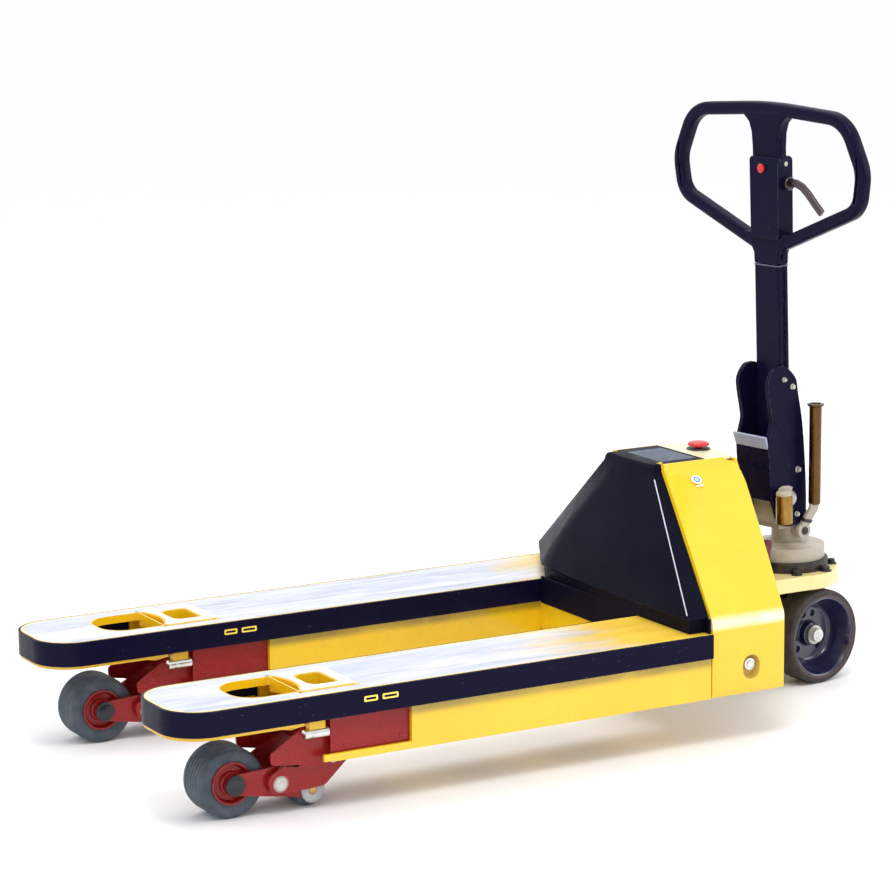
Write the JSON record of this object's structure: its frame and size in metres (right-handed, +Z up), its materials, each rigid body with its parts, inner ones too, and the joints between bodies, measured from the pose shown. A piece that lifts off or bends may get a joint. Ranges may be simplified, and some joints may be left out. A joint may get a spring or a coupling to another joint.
{
  "type": "pallet jack",
  "caption": "Yellow and navy pallet jack with raised forks, battery housing, emergency stop button, steering unit and a drawbar with a looped handle.",
  "frame": {"origin": "Centre of the bounding box in plan, on the floor that the wheels stand on", "axes": "+X points from the fork tips towards the drawbar, +Z up, and +Y completes a right-handed frame, so that the left fork lies at -Y"},
  "size_m": [1.4514, 0.68, 1.0299],
  "materials": {
    "yellow_paint": "semi-gloss yellow enamel with scuffs at the edges",
    "cream_paint": "pale cream enamel",
    "worn_white_paint": "pale paint, scratched along the forks",
    "navy_paint": "semi-gloss navy enamel",
    "navy_plastic": "moulded navy plastic, slightly glossy",
    "red_paint": "glossy dark red enamel",
    "red_plastic": "glossy red plastic",
    "black_plastic": "matte black plastic",
    "grey_paint": "light grey enamel",
    "beige_paint": "beige grey enamel, worn",
    "dark_steel": "dark oiled cast iron",
    "bolt_steel": "zinc plated steel",
    "chrome": "polished chrome",
    "aluminium": "cast aluminium",
    "brass": "bearing bronze",
    "bronze": "dark golden brown plated steel",
    "grey_tyre": "dark grey polyurethane",
    "dark_tyre": "dark brown black rubber"
  },
  "bodies": {
    "chassis": {"chassis_plate": "yellow_paint", "turntable_ring": "dark_steel", "ring_bolts": "bolt_steel", "lift_cylinder": "grey_paint", "pump_block": "dark_steel", "pump_motor": "black_plastic", "oil_tank": "grey_paint", "hose_connectors": "red_plastic", "motor_controller": "aluminium"},
    "fork_frame": {"fork_top_left": "worn_white_paint", "fork_top_right": "worn_white_paint", "fork_trim_left": "navy_paint", "fork_trim_right": "navy_paint", "nose_insert_left": "cream_paint", "nose_insert_right": "cream_paint", "fork_beam_left": "yellow_paint", "fork_beam_right": "yellow_paint", "frame_fasteners": "bolt_steel", "heel_frame": "yellow_paint", "lift_ram": "chrome", "battery": "black_plastic", "front_cover": "navy_plastic", "side_panel_left": "yellow_paint", "side_panel_right": "yellow_paint", "top_cover": "cream_paint", "rear_cover": "yellow_paint", "vent_grille": "black_plastic", "arm_brackets": "red_paint", "stop_collar": "black_plastic", "arm_pins": "bolt_steel"},
    "stop_button": {"stop_button": "red_plastic"},
    "load_arm_left": {"load_arm_left": "red_paint", "arm_bushes_left": "brass"},
    "bogie_left": {"bogie_left": "red_paint"},
    "load_wheel_left": {"load_tyre_left": "grey_tyre", "load_hub_left": "red_paint"},
    "roller_left": {"roller_left": "grey_tyre"},
    "push_rod_left": {"push_rod_left": "red_paint"},
    "steer_wheel_left": {"steer_tyre_left": "dark_tyre", "steer_hub_left": "navy_paint"},
    "load_arm_right": {"load_arm_right": "red_paint", "arm_bushes_right": "brass"},
    "bogie_right": {"bogie_right": "red_paint"},
    "load_wheel_right": {"load_tyre_right": "grey_tyre", "load_hub_right": "red_paint"},
    "roller_right": {"roller_right": "grey_tyre"},
    "push_rod_right": {"push_rod_right": "red_paint"},
    "steer_wheel_right": {"steer_tyre_right": "dark_tyre", "steer_hub_right": "navy_paint"},
    "steering": {"steer_disc": "beige_paint", "steer_fork": "navy_paint", "steer_axle": "bolt_steel"},
    "drawbar": {"yoke_plates": "navy_paint", "yoke_bolts": "bolt_steel", "tilt_spring": "bronze", "drawbar_tube": "navy_paint", "handle_loop": "navy_paint"},
    "thumb_button": {"thumb_button": "red_plastic"},
    "control_lever": {"control_lever": "black_plastic"},
    "brake_lever": {"brake_lever": "bronze"}
  },
  "joints": [
    {"name": "lift", "type": "slide", "parent": "chassis", "child": "fork_frame", "axis": [0, 0, 1], "range_m": [-0.064, 0]},
    {"name": "stop_press", "type": "slide", "parent": "fork_frame", "child": "stop_button", "axis": [0, 0, -1], "range_m": [0, 0.0035], "stiffness_N_per_m": 400},
    {"name": "load_arm_hinge_left", "type": "hinge", "parent": "fork_frame", "child": "load_arm_left", "pos_m": [-0.40568, -0.249, 0.122], "axis": [0, 1, 0], "range_deg": [0, 26]},
    {"name": "bogie_hinge_left", "type": "hinge", "parent": "load_arm_left", "child": "bogie_left", "pos_m": [-0.53568, -0.249, 0.05], "axis": [0, 1, 0], "range_deg": [-26, 0]},
    {"name": "load_wheel_spin_left", "type": "hinge", "parent": "bogie_left", "child": "load_wheel_left", "pos_m": [-0.60768, -0.249, 0.056], "axis": [0, 1, 0], "continuous": true},
    {"name": "roller_spin_left", "type": "hinge", "parent": "bogie_left", "child": "roller_left", "pos_m": [-0.47568, -0.249, 0.029], "axis": [0, 1, 0], "continuous": true},
    {"name": "push_rod_slide_left", "type": "slide", "parent": "fork_frame", "child": "push_rod_left", "axis": [1, 0, 0], "range_m": [0, 0.0124]},
    {"name": "steer_wheel_spin_left", "type": "hinge", "parent": "steering", "child": "steer_wheel_left", "pos_m": [0.63927, -0.06914, 0.084], "axis": [-0.1564, 0.9877, 0], "continuous": true},
    {"name": "load_arm_hinge_right", "type": "hinge", "parent": "fork_frame", "child": "load_arm_right", "pos_m": [-0.40568, 0.249, 0.122], "axis": [0, 1, 0], "range_deg": [0, 26]},
    {"name": "bogie_hinge_right", "type": "hinge", "parent": "load_arm_right", "child": "bogie_right", "pos_m": [-0.53568, 0.249, 0.05], "axis": [0, 1, 0], "range_deg": [-26, 0]},
    {"name": "load_wheel_spin_right", "type": "hinge", "parent": "bogie_right", "child": "load_wheel_right", "pos_m": [-0.60768, 0.249, 0.056], "axis": [0, 1, 0], "continuous": true},
    {"name": "roller_spin_right", "type": "hinge", "parent": "bogie_right", "child": "roller_right", "pos_m": [-0.47568, 0.249, 0.029], "axis": [0, 1, 0], "continuous": true},
    {"name": "push_rod_slide_right", "type": "slide", "parent": "fork_frame", "child": "push_rod_right", "axis": [1, 0, 0], "range_m": [0, 0.0124]},
    {"name": "steer_wheel_spin_right", "type": "hinge", "parent": "steering", "child": "steer_wheel_right", "pos_m": [0.61737, 0.06914, 0.084], "axis": [-0.1564, 0.9877, 0], "continuous": true},
    {"name": "steer", "type": "hinge", "parent": "chassis", "child": "steering", "pos_m": [0.62832, 0, 0.22], "axis": [0, 0, 1], "range_deg": [-99, 81]},
    {"name": "drawbar_tilt", "type": "hinge", "parent": "steering", "child": "drawbar", "pos_m": [0.59672, -0.00501, 0.33], "axis": [-0.1564, 0.9877, 0], "range_deg": [0, 80]},
    {"name": "brake_pull", "type": "hinge", "parent": "steering", "child": "brake_lever", "pos_m": [0.63458, -0.03951, 0.268], "axis": [-0.1564, 0.9877, 0], "range_deg": [-3, 25]},
    {"name": "control_press", "type": "hinge", "parent": "drawbar", "child": "control_lever", "pos_m": [0.59123, -0.0565, 0.88787], "axis": [-0.1564, 0.9877, 0], "range_deg": [0, 15], "stiffness_Nm_per_rad": 2},
    {"name": "thumb_press", "type": "slide", "parent": "drawbar", "child": "thumb_button", "axis": [0.9871, 0.1563, 0.0349], "range_m": [0, 0.0025], "stiffness_N_per_m": 300}
  ],
  "couplings": [
    {"joint": "load_arm_hinge_left", "follows": "lift", "rad_per_m": -7.063},
    {"joint": "bogie_hinge_left", "follows": "lift", "rad_per_m": 7.063},
    {"joint": "push_rod_slide_left", "follows": "lift", "ratio": -0.191},
    {"joint": "load_arm_hinge_right", "follows": "lift", "rad_per_m": -7.063},
    {"joint": "bogie_hinge_right", "follows": "lift", "rad_per_m": 7.063},
    {"joint": "push_rod_slide_right", "follows": "lift", "ratio": -0.191}
  ]
}
